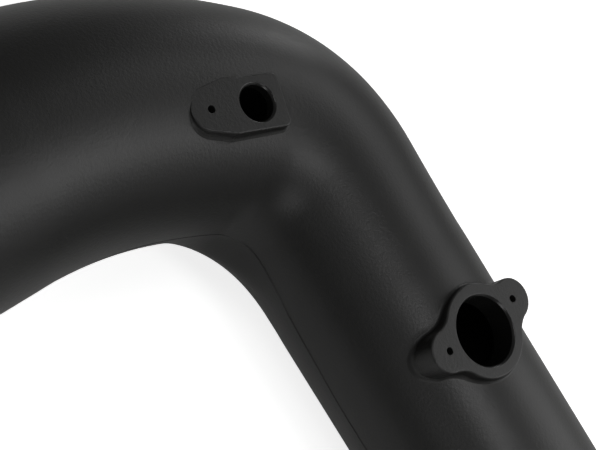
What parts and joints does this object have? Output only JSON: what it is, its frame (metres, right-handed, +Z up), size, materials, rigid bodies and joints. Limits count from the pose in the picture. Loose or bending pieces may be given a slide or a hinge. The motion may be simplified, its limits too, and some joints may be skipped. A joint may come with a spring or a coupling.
{
  "type": "cold air intake pipe",
  "caption": "Moulded plastic intake pipe that turns a right angle, with a lobed airflow sensor boss on the run and a pointed temperature sensor pad on the bend.",
  "frame": {"origin": "middle of the engine mouth, on the middle plane of the tube", "axes": "the straight run goes from the mouth along +Y, the arm ends facing -X, +Z is up through both sensor seats; the pipe lies on the side without seats"},
  "size_m": [0.265, 0.3441, 0.1016],
  "materials": {
    "moulded_plastic": "fine leather grain, low sheen"
  },
  "bodies": {
    "root": {"intake_pipe": "moulded_plastic"}
  },
  "joints": []
}
